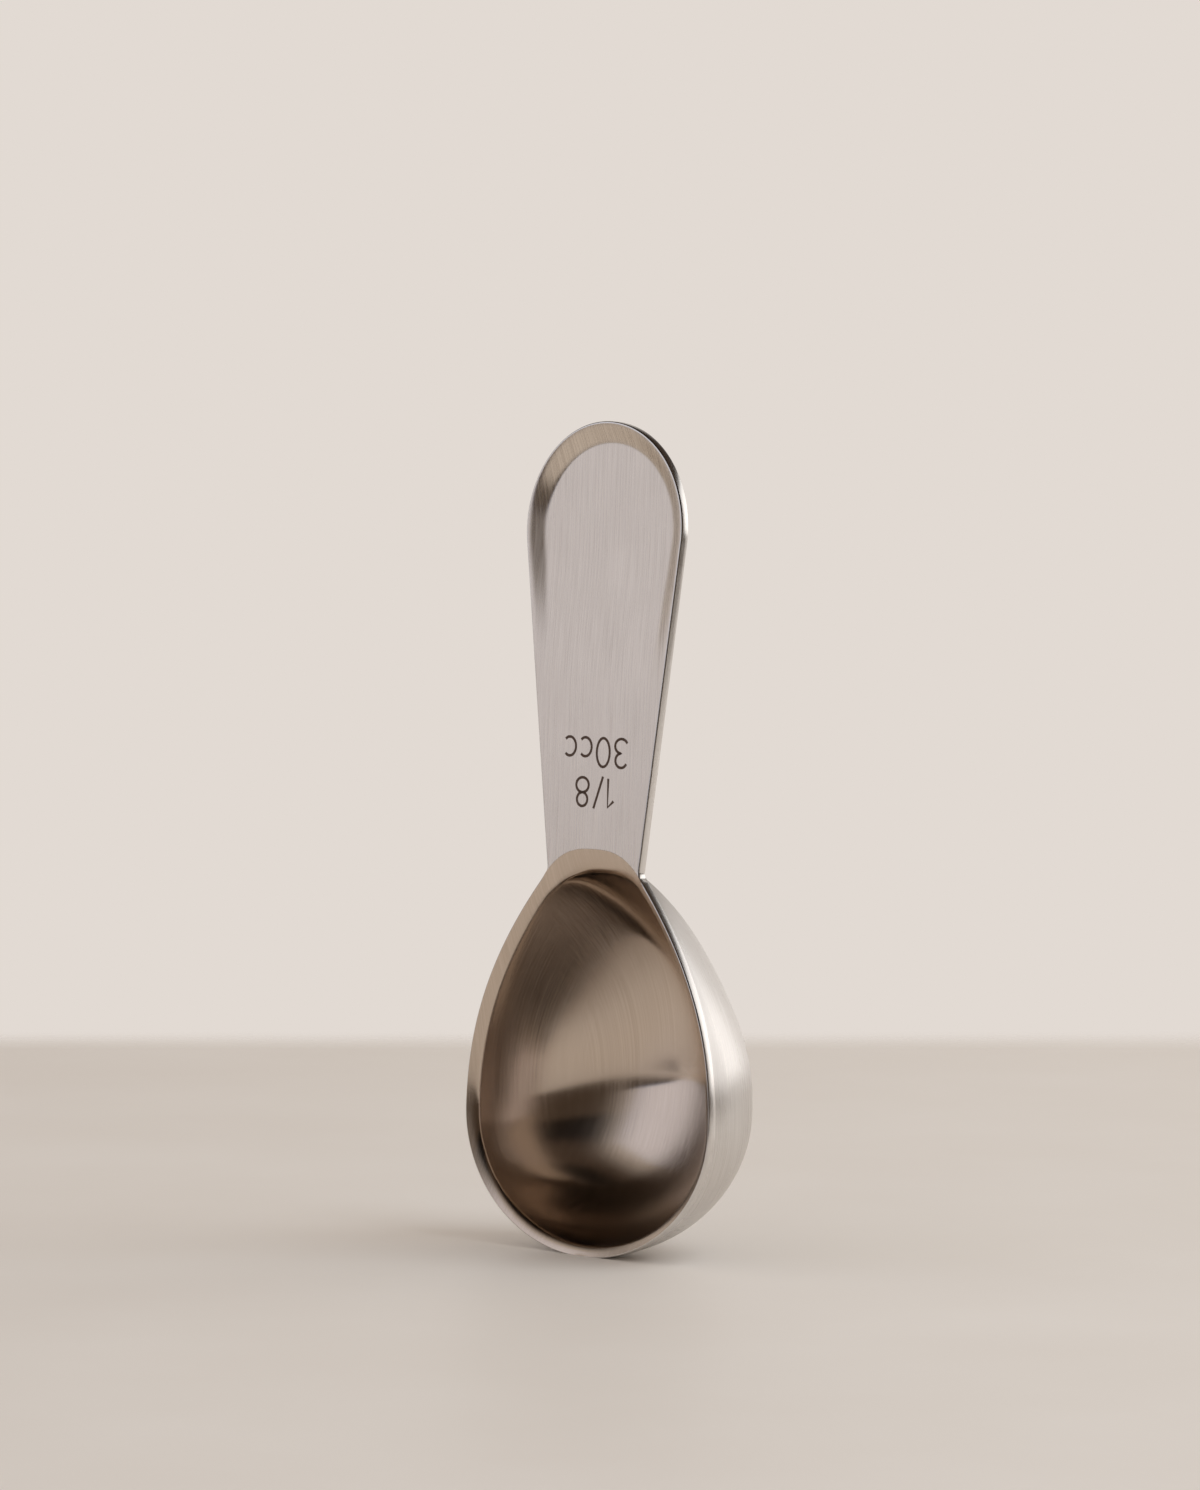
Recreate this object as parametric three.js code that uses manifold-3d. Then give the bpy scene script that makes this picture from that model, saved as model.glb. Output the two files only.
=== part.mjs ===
// Coffee scoop of stainless sheet: a drawn egg-shaped bowl, a dished handle blade butted to it along
// the arch of the neck, and the weld bead across the back of that joint.
// Millimetres, +Z up. The scoop stands on the tip of its bowl and its mouth and panel face -Y.
import * as THREE from 'three';
import { mergeVertices } from 'three/addons/utils/BufferGeometryUtils.js';
import Module from 'manifold-3d';

// Driving dimensions, in the scoop's own frame: Z up from the tip, Y into the depth of the bowl
const overallLength = 125;
const sheetThickness = 1.5;
const leanBack = THREE.MathUtils.degToRad(2.6);

// Rim of the bowl: a half ellipse below its widest point, a flank up to the neck and an arched crown
const rimHalfWidth = 25.3;
const rimWidestHeight = 20.9;
const neckHalfWidth = 9.7;
const neckHeight = 57.2;
const neckFlare = THREE.MathUtils.degToRad(42);
const flankLowerReach = 12;
const flankUpperReach = 17.8;
const crownRise = 4.4;

// Depth of the bowl, measured outside from the rim plane
const bowlDepth = 24.2;
const deepestHeight = 26.5;
const rampShare = 0.9;
const rampPower = 2.55;
const rampHeight = 52;

// Lip: the bevelled inner edge of the rim, wider and deeper along the neck.
// Its tangents are shares of the lip's width and drop.
const lipWidth = 1.7;
const lipDrop = 1.5;
const neckLipWidth = 3.6;
const neckLipDrop = 2.5;
const neckLipRun = 2;
const neckBackDrop = 1.6;
const lipRimTangent = new THREE.Vector2(0.62, 0.38);
const lipWallTangent = new THREE.Vector2(1, 0.62);

// Flat that lets the scoop stand on its tip
const footCut = 0.3;

// Handle blade: straight sides that open out to a half-round end, with a shallow dished panel
const handleEndRadius = 16.1;
const dishDepth = 1.4;
const dishBevel = 3.4;
const dishRounding = 0.3;
const dishFullFromEnd = 17;
const dishGoneFromEnd = 42;
const neckFilletLength = 0.9;
const neckFilletSpread = 0.15;
const buttGap = 0.2;

// Weld bead across the back of the neck
const weldHalfWidth = 1.3;
const weldHeight = 0.7;
const weldEndMargin = 1.4;
const weldClearance = 0.1;

// Facet counts
const lowerRimSteps = 14;
const flankSteps = 12;
const crownSteps = 8;
const wallRings = 12;
const lipRings = 5;
const sideSteps = 12;
const endSteps = 14;
const bevelSteps = 6;
const panelSteps = 12;
const weldSteps = 18;
const weldFaceSteps = 4;
const filletSteps = 2;

// Height over which the facet rows of the blade straighten out from the arch of the neck
const archFade = 24;

// Points closer than this are one point
const mergeDistance = 1e-4;

const steel = (color, roughness) => new THREE.MeshStandardMaterial({ color, roughness, metalness: 1 });
const { smoothstep, lerp } = THREE.MathUtils;

// Falls from 0 to 1 at one slope, with a rounding at both ends
function chamfer(share) {
  const end = Math.min(share, 1 - share);
  const eased = end < dishRounding ? end ** 2 / (2 * dishRounding) : end - dishRounding / 2;
  const fall = eased / (1 - dishRounding);
  return share < 0.5 ? fall : 1 - fall;
}

// Outline of the rim

const crownTop = neckHeight + crownRise;

// Height of the neck arch, a parabola between the two neck corners
function crownHeight(x) {
  return neckHeight + crownRise * (1 - (x / neckHalfWidth) ** 2);
}

// Right half of the rim from the tip up to the top of the crown
function rightRim() {
  const lower = new THREE.EllipseCurve(0, rimWidestHeight, rimHalfWidth, rimWidestHeight, -Math.PI / 2, 0);
  const corner = new THREE.Vector2(neckHalfWidth, neckHeight);
  const downFlank = new THREE.Vector2(Math.sin(neckFlare), -Math.cos(neckFlare));
  const flank = new THREE.CubicBezierCurve(
    new THREE.Vector2(rimHalfWidth, rimWidestHeight),
    new THREE.Vector2(rimHalfWidth, rimWidestHeight + flankLowerReach),
    corner.clone().addScaledVector(downFlank, flankUpperReach),
    corner,
  );
  const crown = new THREE.QuadraticBezierCurve(
    corner,
    new THREE.Vector2(neckHalfWidth / 2, crownTop),
    new THREE.Vector2(0, crownTop),
  );
  return [
    ...lower.getPoints(lowerRimSteps),
    ...flank.getPoints(flankSteps).slice(1),
    ...crown.getPoints(crownSteps).slice(1),
  ];
}

// Closed rim, up the right side and down the left, with the inward direction at each point
function closedRim() {
  const right = rightRim();
  const left = right.slice(1, -1).reverse().map((p) => new THREE.Vector2(-p.x, p.y));
  const points = [...right, ...left];
  return points.map((point, i) => {
    const before = points[(i + points.length - 1) % points.length];
    const after = points[(i + 1) % points.length];
    const along = after.clone().sub(before).normalize();
    return { point, inward: new THREE.Vector2(-along.y, along.x) };
  });
}

// Meshes from grids of points

function geometryFrom(positions, triangles) {
  const geometry = new THREE.BufferGeometry().setFromPoints(positions);
  geometry.setIndex(triangles.flat());
  const merged = mergeVertices(geometry, mergeDistance);
  const index = Array.from(merged.index.array);
  const kept = [];
  for (let i = 0; i < index.length; i += 3) {
    const [a, b, c] = index.slice(i, i + 3);
    if (a !== b && b !== c && c !== a) kept.push(a, b, c);
  }
  merged.setIndex(kept);
  return merged;
}

// Closed body from a stack of rings of equal count between two end points
function closedStack(startPoint, rings, endPoint) {
  const count = rings[0].length;
  const positions = [startPoint, ...rings.flat(), endPoint];
  const last = positions.length - 1;
  const at = (ring, i) => 1 + ring * count + (i % count);
  const triangles = [];
  for (let i = 0; i < count; i++) {
    triangles.push([0, at(0, i), at(0, i + 1)]);
    for (let ring = 0; ring + 1 < rings.length; ring++) {
      triangles.push([at(ring, i), at(ring + 1, i + 1), at(ring, i + 1)]);
      triangles.push([at(ring, i), at(ring + 1, i), at(ring + 1, i + 1)]);
    }
    triangles.push([last, at(rings.length - 1, i + 1), at(rings.length - 1, i)]);
  }
  return geometryFrom(positions, triangles);
}

// Closed plate between two grids of the same rows and columns, walled round their border
function thickSheet(front, back) {
  const rows = front.length;
  const columns = front[0].length;
  const positions = [...front.flat(), ...back.flat()];
  const f = (i, j) => i * columns + j;
  const b = (i, j) => rows * columns + f(i, j);
  const triangles = [];
  const quad = (p, q, r, s) => triangles.push([p, q, r], [p, r, s]);
  for (let i = 0; i + 1 < rows; i++) {
    for (let j = 0; j + 1 < columns; j++) {
      quad(f(i, j), f(i + 1, j), f(i + 1, j + 1), f(i, j + 1));
      quad(b(i, j), b(i, j + 1), b(i + 1, j + 1), b(i + 1, j));
    }
    quad(f(i, 0), b(i, 0), b(i + 1, 0), f(i + 1, 0));
    quad(f(i, columns - 1), f(i + 1, columns - 1), b(i + 1, columns - 1), b(i, columns - 1));
  }
  for (let j = 0; j + 1 < columns; j++) {
    quad(f(0, j), f(0, j + 1), b(0, j + 1), b(0, j));
  }
  return geometryFrom(positions, triangles);
}

// Bowl

// Share of the full depth at a share of the way out from the deepest point to the rim.
// The section is round; towards the neck it gives way to a ramp that eases into the floor.
function depthShare(out, height) {
  const ramp = rampShare * smoothstep(height, deepestHeight, rampHeight);
  return lerp(Math.sqrt(1 - out * out), 1 - out ** rampPower, ramp);
}

// Slope of the bowl's back behind the widened lip of the neck
const neckBackSlope = neckBackDrop / neckLipWidth;

// Rings of a bowl wall that closes from a starting ring towards the deepest point
function wallRingsFrom(start, floorDepth) {
  const rings = [];
  for (let step = 0; step < wallRings; step++) {
    const out = Math.cos((step / wallRings) * (Math.PI / 2));
    rings.push(start.map((p) => new THREE.Vector3(
      p.x * out,
      lerp(p.y, floorDepth, depthShare(out, p.z)),
      lerp(deepestHeight, p.z, out),
    )));
  }
  return rings;
}

function bowlGeometry() {
  const rim = closedRim();
  const neckShare = (height) => smoothstep(height, neckHeight - neckLipRun, crownTop);
  const inset = ({ point, inward }, width, depth) => new THREE.Vector3(
    point.x + inward.x * width,
    depth,
    point.y + inward.y * width,
  );
  const section = new THREE.CubicBezierCurve(
    new THREE.Vector2(0, 0), lipRimTangent, lipWallTangent, new THREE.Vector2(1, 1),
  );
  const lip = section.getPoints(lipRings).slice(1).map((share) => rim.map((r) => {
    const neck = neckShare(r.point.y);
    const width = lerp(lipWidth, neckLipWidth, neck);
    return inset(r, width * share.x, lerp(lipDrop, neckLipDrop, neck) * share.y);
  }));
  const innerStart = lip.pop();
  const outerStart = rim.map((r) => {
    const behindLip = (neckLipWidth - lipWidth) * neckShare(r.point.y);
    return inset(r, behindLip, sheetThickness + behindLip * neckBackSlope);
  });
  const frontEdge = rim.map((r) => inset(r, 0, 0));
  const backEdge = rim.map((r) => inset(r, 0, sheetThickness));
  const innerFloor = bowlDepth - sheetThickness;
  const rings = [
    ...wallRingsFrom(innerStart, innerFloor).reverse(),
    ...lip.reverse(),
    frontEdge,
    backEdge,
    ...wallRingsFrom(outerStart, bowlDepth),
  ];
  return closedStack(
    new THREE.Vector3(0, innerFloor, deepestHeight),
    rings,
    new THREE.Vector3(0, bowlDepth, deepestHeight),
  );
}

// Handle

// Right side of the blade from the neck corner up to the middle of the round end
function handleSide() {
  const foot = neckHeight + buttGap;
  const root = new THREE.Vector2(neckHalfWidth - neckFilletSpread, foot + neckFilletLength);
  const centre = new THREE.Vector2(0, overallLength - handleEndRadius);
  const toCentre = centre.clone().sub(root);
  const tangentTurn = Math.asin(handleEndRadius / toCentre.length());
  const heading = toCentre.angle() - tangentTurn;
  const direction = new THREE.Vector2(Math.cos(heading), Math.sin(heading));
  const tangent = root.clone().addScaledVector(direction, toCentre.length() * Math.cos(tangentTurn));
  const fillet = new THREE.QuadraticBezierCurve(
    new THREE.Vector2(neckHalfWidth, foot),
    root.clone().addScaledVector(direction, -neckFilletLength / 2),
    root,
  );
  const end = new THREE.EllipseCurve(
    centre.x, centre.y, handleEndRadius, handleEndRadius, heading - Math.PI / 2, Math.PI / 2,
  );
  return [
    ...fillet.getPoints(filletSteps),
    ...new THREE.LineCurve(root, tangent).getPoints(sideSteps).slice(1),
    ...end.getPoints(endSteps).slice(1),
  ];
}

function handleGeometry() {
  const side = handleSide();
  const apex = side.length - 1;
  const inwardAt = (i) => {
    if (i === apex) return new THREE.Vector2(0, -1);
    const along = side[i + 1].clone().sub(side[Math.max(i - 1, 0)]).normalize();
    return new THREE.Vector2(-along.y, along.x);
  };
  const dishGone = overallLength - dishGoneFromEnd;
  const dishFull = overallLength - dishFullFromEnd;
  const dished = (height) => smoothstep(height, dishGone, dishFull);
  // The lowest row follows the arch of the neck, and the rows above it straighten out
  const bow = (height) => Math.max(0, 1 - (height - side[0].y) / archFade);
  const heightAt = (i, x, squareRise) => {
    const archRise = crownHeight(x) - crownHeight(side[i].x);
    return side[i].y + lerp(squareRise, archRise, bow(side[i].y));
  };
  // One row across the blade at a station of its side: bevel, panel and bevel again
  const row = (i, lift) => {
    const inward = inwardAt(i);
    const bevel = [];
    for (let step = 0; step <= bevelSteps; step++) {
      const share = step / bevelSteps;
      const width = dishBevel * share;
      const x = side[i].x + inward.x * width;
      const z = heightAt(i, x, inward.y * width);
      bevel.push(new THREE.Vector3(x, lift + dishDepth * chamfer(share) * dished(z), z));
    }
    const edge = bevel[bevelSteps];
    const panel = [];
    for (let step = 1; step < panelSteps; step++) {
      const x = edge.x * (1 - (2 * step) / panelSteps);
      panel.push(new THREE.Vector3(x, edge.y, heightAt(i, x, inward.y * dishBevel)));
    }
    const mirrored = bevel.map((p) => new THREE.Vector3(-p.x, p.y, p.z)).reverse();
    return [...bevel, ...panel, ...mirrored];
  };
  const front = side.map((_, i) => row(i, 0));
  const back = side.map((_, i) => row(i, sheetThickness));
  return thickSheet(front, back);
}

// Weld bead

// Lens-shaped bead over the joint: half on the handle's back, half on the slope behind the lip
function weldGeometry() {
  const reach = neckHalfWidth - weldEndMargin;
  const under = (offset) => sheetThickness + weldClearance + Math.max(0, -offset) * neckBackSlope;
  const spine = (x) => new THREE.Vector2(x, crownHeight(x) + buttGap / 2);
  const rings = [];
  for (let step = 1; step < weldSteps; step++) {
    const share = -Math.cos((step / weldSteps) * Math.PI);
    const x = reach * share;
    const slope = (-2 * crownRise * x) / neckHalfWidth ** 2;
    const outward = new THREE.Vector2(-slope, 1).normalize();
    const taper = Math.sqrt(1 - share * share);
    const place = (side, crowned) => {
      const offset = weldHalfWidth * taper * side;
      const flat = spine(x).addScaledVector(outward, offset);
      const rise = crowned ? weldHeight * taper * (1 - side * side) : 0;
      return new THREE.Vector3(flat.x, under(offset) + rise, flat.y);
    };
    const ring = [];
    for (let face = 0; face < weldFaceSteps; face++) ring.push(place(1 - (2 * face) / weldFaceSteps, true));
    for (let face = 0; face < weldFaceSteps; face++) ring.push(place((2 * face) / weldFaceSteps - 1, false));
    rings.push(ring);
  }
  const endPoint = (x) => new THREE.Vector3(x, under(0), spine(x).y);
  return closedStack(endPoint(-reach), rings, endPoint(reach));
}

// Cutting with the solid library

const wasm = await Module();
wasm.setup();

function toSolid(geometry) {
  const plain = new THREE.BufferGeometry();
  plain.setAttribute('position', geometry.getAttribute('position').clone());
  plain.setIndex(geometry.index);
  const merged = mergeVertices(plain, mergeDistance);
  return new wasm.Manifold(new wasm.Mesh({
    numProp: 3,
    vertProperties: new Float32Array(merged.getAttribute('position').array),
    triVerts: new Uint32Array(merged.index.array),
  }));
}

function toGeometry(solid) {
  const mesh = solid.getMesh();
  const geometry = new THREE.BufferGeometry();
  geometry.setAttribute('position', new THREE.BufferAttribute(mesh.vertProperties, 3));
  geometry.setIndex(new THREE.BufferAttribute(mesh.triVerts, 1));
  return geometry;
}

// Assembly

// Turns a shape from the scoop's frame to the stance in which it leans back on its tip
const stance = new THREE.Matrix4().makeRotationX(-leanBack);

// Takes the foot flat off a bowl that is already in its stance
function withFoot(bowl, footHeight) {
  const reach = 2 * overallLength;
  const block = new THREE.BoxGeometry(reach, reach, reach);
  block.deleteAttribute('normal');
  block.deleteAttribute('uv');
  block.translate(0, 0, footHeight - reach / 2);
  return toGeometry(toSolid(bowl).subtract(toSolid(block)));
}

const bowlShape = bowlGeometry().applyMatrix4(stance);
bowlShape.computeBoundingBox();
const footHeight = bowlShape.boundingBox.min.z + footCut;

const bowl = new THREE.Mesh(withFoot(bowlShape, footHeight), steel(0x9c948c, 0.3));
bowl.name = 'bowl';

const handle = new THREE.Mesh(handleGeometry().applyMatrix4(stance), steel(0xb5ada8, 0.38));
handle.name = 'handle';

const neckWeld = new THREE.Mesh(weldGeometry().applyMatrix4(stance), steel(0xa39c95, 0.42));
neckWeld.name = 'neck_weld';

const scoop = new THREE.Group();
scoop.add(bowl, handle, neckWeld);

// The origin lies on the floor, under the middle of the scoop's box
const box = new THREE.Box3().setFromObject(scoop, true);
const middle = box.getCenter(new THREE.Vector3());
scoop.position.set(-middle.x, -middle.y, -footHeight);

export default scoop;
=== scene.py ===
"""Looks of a stainless coffee scoop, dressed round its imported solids.

Sizes are millimetres in the scoop's own frame: X across, Y from the plane of the rim into the depth
of the bowl, Z up from the tip of the bowl. Stance turns that frame into the one the solids stand in.
"""
import logging
import math
from dataclasses import dataclass, field
from enum import Enum

import bmesh
import bpy
import numpy as np
from bpy.types import Material, Mesh, Node, NodeSocket, NodeTree, Object, bpy_prop_collection
from mathutils import Matrix, Vector


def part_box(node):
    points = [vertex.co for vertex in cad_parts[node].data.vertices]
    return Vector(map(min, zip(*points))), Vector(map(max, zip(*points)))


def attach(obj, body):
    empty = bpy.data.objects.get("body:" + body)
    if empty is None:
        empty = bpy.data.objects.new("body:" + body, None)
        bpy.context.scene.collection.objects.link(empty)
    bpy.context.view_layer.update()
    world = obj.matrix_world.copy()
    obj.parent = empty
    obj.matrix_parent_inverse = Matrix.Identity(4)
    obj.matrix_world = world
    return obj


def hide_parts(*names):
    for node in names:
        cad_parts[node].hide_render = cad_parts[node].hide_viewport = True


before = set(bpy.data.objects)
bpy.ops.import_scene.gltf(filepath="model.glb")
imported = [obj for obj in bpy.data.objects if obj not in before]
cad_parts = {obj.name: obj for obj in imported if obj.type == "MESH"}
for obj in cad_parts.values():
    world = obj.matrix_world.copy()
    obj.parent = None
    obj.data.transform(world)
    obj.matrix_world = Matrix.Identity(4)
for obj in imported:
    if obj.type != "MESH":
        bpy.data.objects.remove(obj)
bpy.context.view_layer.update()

METRES = 0.001
BODY = "root"
TABLE_PLAN = "plan"
COVER = "cover"

log = logging.getLogger("scoop")


class Surface(Enum):
    """Which finish a face of the pressed sheet wears."""

    INSIDE = 0
    EDGE = 1
    OUTSIDE = 2


# Small helpers


def linear(hex_colour: str) -> tuple[float, float, float, float]:
    """Turns an sRGB hex colour into linear RGBA.

    Args:
        hex_colour: the colour as "#rrggbb".

    Returns:
        Linear red, green and blue with an alpha of 1.
    """
    values = [int(hex_colour[i:i + 2], 16) / 255 for i in (1, 3, 5)]
    curve = [v / 12.92 if v <= 0.04045 else ((v + 0.055) / 1.055) ** 2.4 for v in values]
    return (*curve, 1.0)


def lerp(start: np.ndarray | float, end: np.ndarray | float, share: np.ndarray | float) -> np.ndarray:
    """Mixes from start to end by a share."""
    return start + (end - start) * share


def smoothstep(value: np.ndarray | float, low: float, high: float) -> np.ndarray:
    """Eases from 0 at low to 1 at high."""
    share = np.clip((value - low) / (high - low), 0, 1)
    return share * share * (3 - 2 * share)


def chamfer(share: np.ndarray, rounding: float) -> np.ndarray:
    """Falls from 0 to 1 at one slope, with a rounding at both ends.

    Args:
        share: share of the way across, 0 to 1.
        rounding: share of the width that each rounding takes.

    Returns:
        Share of the fall.
    """
    share = np.clip(share, 0, 1)
    ends = np.minimum(share, 1 - share)
    lift = np.where(ends < rounding, ends * ends / (2 * rounding), ends - rounding / 2) / (1 - rounding)
    return np.where(share < 0.5, lift, 1 - lift)


def bezier(controls: list, steps: int) -> np.ndarray:
    """Samples a Bezier curve of any degree.

    Args:
        controls: its control points.
        steps: number of equal parameter steps.

    Returns:
        steps + 1 points, one a row.
    """
    share = np.linspace(0, 1, steps + 1)[:, None]
    points = [np.repeat([np.asarray(c, float)], steps + 1, axis=0) for c in controls]
    while len(points) > 1:
        points = [lerp(a, b, share) for a, b in zip(points, points[1:])]
    return points[0]


def arc(centre: tuple, radii: tuple, start: float, end: float, steps: int = 28) -> np.ndarray:
    """Points of an elliptical arc, angles in degrees, counter-clockwise from the right."""
    turn = np.radians(np.linspace(start, end, steps + 1))
    return np.column_stack([centre[0] + radii[0] * np.cos(turn), centre[1] + radii[1] * np.sin(turn)])


def soften(ring: np.ndarray, passes: int) -> np.ndarray:
    """Rounds the corners of a closed ring by averaging each point with its neighbours.

    Args:
        ring: the points, one a row.
        passes: how often the averaging is done.

    Returns:
        The softened ring.
    """
    for _ in range(passes):
        ring = (np.roll(ring, 1, axis=0) + 2 * ring + np.roll(ring, -1, axis=0)) / 4
    return ring


def add_node(
    tree: NodeTree,
    kind: str,
    inputs: dict | None = None,
    settings: dict | None = None,
) -> Node:
    """Adds a node, sets its properties, and fills or links its inputs.

    Args:
        tree: the shader or geometry tree.
        kind: Blender's name for the type of node.
        inputs: a value or an output socket for each input, by name or place.
        settings: properties of the node, by name.

    Returns:
        The new node.
    """
    node = tree.nodes.new(kind)
    for name, value in (settings or {}).items():
        setattr(node, name, value)
    for key, value in (inputs or {}).items():
        if isinstance(value, NodeSocket):
            tree.links.new(value, node.inputs[key])
        else:
            node.inputs[key].default_value = value
    return node


def new_object(name: str, mesh: Mesh) -> Object:
    """Links a mesh into the scene.

    Args:
        name: the object's name.
        mesh: its mesh.

    Returns:
        The new object.
    """
    piece = bpy.data.objects.new(name, mesh)
    bpy.context.scene.collection.objects.link(piece)
    return piece


def closed_mesh(name: str, points: np.ndarray, faces: list, surfaces: list) -> Mesh:
    """Makes one closed, smooth mesh from points and faces in metres.

    Args:
        name: the mesh's name.
        points: the vertices, one a row.
        faces: tuples of vertex numbers.
        surfaces: the Surface of each face.

    Returns:
        The mesh, its doubles merged and its faces pointing out.
    """
    merge_distance = 1e-3 * METRES
    degenerate_distance = 1e-4 * METRES
    smooth_below = math.radians(38)
    mesh = bpy.data.meshes.new(name)
    mesh.from_pydata(points.tolist(), [], faces)
    mesh.polygons.foreach_set("material_index", [s.value for s in surfaces])
    work = bmesh.new()
    work.from_mesh(mesh)
    bmesh.ops.remove_doubles(work, verts=work.verts, dist=merge_distance)
    bmesh.ops.dissolve_degenerate(work, edges=work.edges, dist=degenerate_distance)
    bmesh.ops.recalc_face_normals(work, faces=work.faces)
    work.to_mesh(mesh)
    work.free()
    mesh.polygons.foreach_set("use_smooth", [True] * len(mesh.polygons))
    mesh.set_sharp_from_angle(angle=smooth_below)
    return mesh


def poly_curve(name: str, strokes: list[np.ndarray], closed: list[bool]) -> Object:
    """Makes a curve object of straight-sided strokes lying in its XY plane.

    Args:
        name: the object's name.
        strokes: the points of each stroke, rows of x and y.
        closed: whether each stroke joins its own start.

    Returns:
        The linked curve object.
    """
    curve = bpy.data.curves.new(name, "CURVE")
    curve.dimensions = "3D"
    for points, loop in zip(strokes, closed):
        spline = curve.splines.new("POLY")
        spline.points.add(len(points) - 1)
        flat = np.column_stack([points, np.zeros(len(points)), np.ones(len(points))])
        spline.points.foreach_set("co", flat.ravel())
        spline.use_cyclic_u = loop
    thing = bpy.data.objects.new(name, curve)
    bpy.context.scene.collection.objects.link(thing)
    return thing


def baked_nodes(source: Object, tree: NodeTree, values: dict) -> Mesh:
    """Runs a geometry tree on an object and keeps the result as a plain mesh.

    Args:
        source: the object that the tree starts from; it is removed afterwards.
        tree: the geometry tree.
        values: a value for each named input of the tree.

    Returns:
        The mesh that the tree gives.
    """
    modifier = source.modifiers.new("shape", "NODES")
    modifier.node_group = tree
    for item in tree.interface.items_tree:
        if item.item_type == "SOCKET" and item.in_out == "INPUT" and item.name in values:
            modifier[item.identifier] = values[item.name]
    graph = bpy.context.evaluated_depsgraph_get()
    mesh = bpy.data.meshes.new_from_object(source.evaluated_get(graph), depsgraph=graph)
    source.modifiers.remove(modifier)
    bpy.data.objects.remove(source)
    return mesh


def new_geometry_tree(name: str, sockets: dict) -> tuple[NodeTree, bpy_prop_collection]:
    """Starts a geometry tree with a geometry input and output and more named inputs.

    Args:
        name: the tree's name.
        sockets: the type of each further input, by name.

    Returns:
        The tree and the sockets that give its inputs, by name.
    """
    tree = bpy.data.node_groups.new(name, "GeometryNodeTree")
    tree.interface.new_socket("Geometry", in_out="INPUT", socket_type="NodeSocketGeometry")
    tree.interface.new_socket("Geometry", in_out="OUTPUT", socket_type="NodeSocketGeometry")
    for label, kind in sockets.items():
        tree.interface.new_socket(label, in_out="INPUT", socket_type=kind)
    return tree, add_node(tree, "NodeGroupInput").outputs


def finish_sweep(tree: NodeTree, path: NodeSocket, section: NodeSocket, material: NodeSocket) -> None:
    """Ends a geometry tree: a section swept along a flat path, as large as the path's radius there.

    Args:
        tree: the geometry tree.
        path: the curve to follow.
        section: the closed curve that is swept.
        material: the material of the swept solid.
    """
    upright = add_node(tree, "GeometryNodeSetCurveNormal", {"Curve": path}, {"mode": "Z_UP"})
    radius = add_node(tree, "GeometryNodeInputRadius")
    swept = add_node(
        tree, "GeometryNodeCurveToMesh",
        {
            "Curve": upright.outputs[0], "Profile Curve": section, "Fill Caps": True,
            "Scale": radius.outputs[0],
        },
    )
    smooth = add_node(tree, "GeometryNodeSetShadeSmooth", {"Geometry": swept.outputs[0]})
    real = add_node(tree, "GeometryNodeRealizeInstances", {"Geometry": smooth.outputs[0]})
    dressed = add_node(tree, "GeometryNodeSetMaterial", {"Geometry": real.outputs[0], "Material": material})
    add_node(tree, "NodeGroupOutput", {0: dressed.outputs[0]})


# Stance and neck, which every piece shares


@dataclass(frozen=True)
class Stance:
    """How the scoop's own frame stands in the frame of the solids: it leans back on its tip."""

    lean: float = math.radians(2.6)
    length: float = 125.0
    neck_foot: float = 57.4

    def matrix(self) -> Matrix:
        """Works out the turn and shift that fit the scoop to the handle's solid.

        Returns:
            The matrix from scoop millimetres to metres in the frame of the solids.
        """
        low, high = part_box("handle")
        along_y = low.y / METRES - self.neck_foot * math.sin(self.lean)
        up = high.z / METRES - self.length * math.cos(self.lean)
        placed = Matrix.Translation((0, along_y, up)) @ Matrix.Rotation(-self.lean, 4, "X")
        return Matrix.Scale(METRES, 4) @ placed

    def place(self, points: np.ndarray) -> np.ndarray:
        """Places scoop points, one a row, in the frame of the solids."""
        matrix = np.array(self.matrix())
        return points @ matrix[:3, :3].T + matrix[:3, 3]

    def axis(self) -> Vector:
        """Direction of the blade, which the brushing follows."""
        return Vector((0, math.sin(self.lean), math.cos(self.lean)))


@dataclass(frozen=True)
class Neck:
    """The arch along which the bowl and the blade meet, and the sheet that both are pressed from."""

    half_width: float = 9.7
    height: float = 57.2
    rise: float = 3.9
    # How square the arch is: 2 is a parabola, and more is flatter in the middle
    fullness: float = 2.8
    sheet: float = 1.5

    @property
    def top(self) -> float:
        """Height of the middle of the arch."""
        return self.height + self.rise

    def crown(self, x: np.ndarray) -> np.ndarray:
        """Height of the arch at places across the neck."""
        return self.height + self.rise * (1 - np.abs(x / self.half_width) ** self.fullness)


STANCE = Stance()
NECK = Neck()


# Finishes


@dataclass(frozen=True)
class Finish:
    """A surface finish, whose shader each kind of finish wires by itself."""

    name: str

    def shader(self, tree: NodeTree) -> NodeSocket:
        """Wires the shader."""
        raise NotImplementedError

    def material(self) -> Material:
        """Builds the node material.

        Returns:
            A new material with the shader of this finish.
        """
        material = bpy.data.materials.new(self.name)
        material.use_nodes = True
        material.node_tree.nodes.clear()
        shader = self.shader(material.node_tree)
        add_node(material.node_tree, "ShaderNodeOutputMaterial", {"Surface": shader})
        return material


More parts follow.
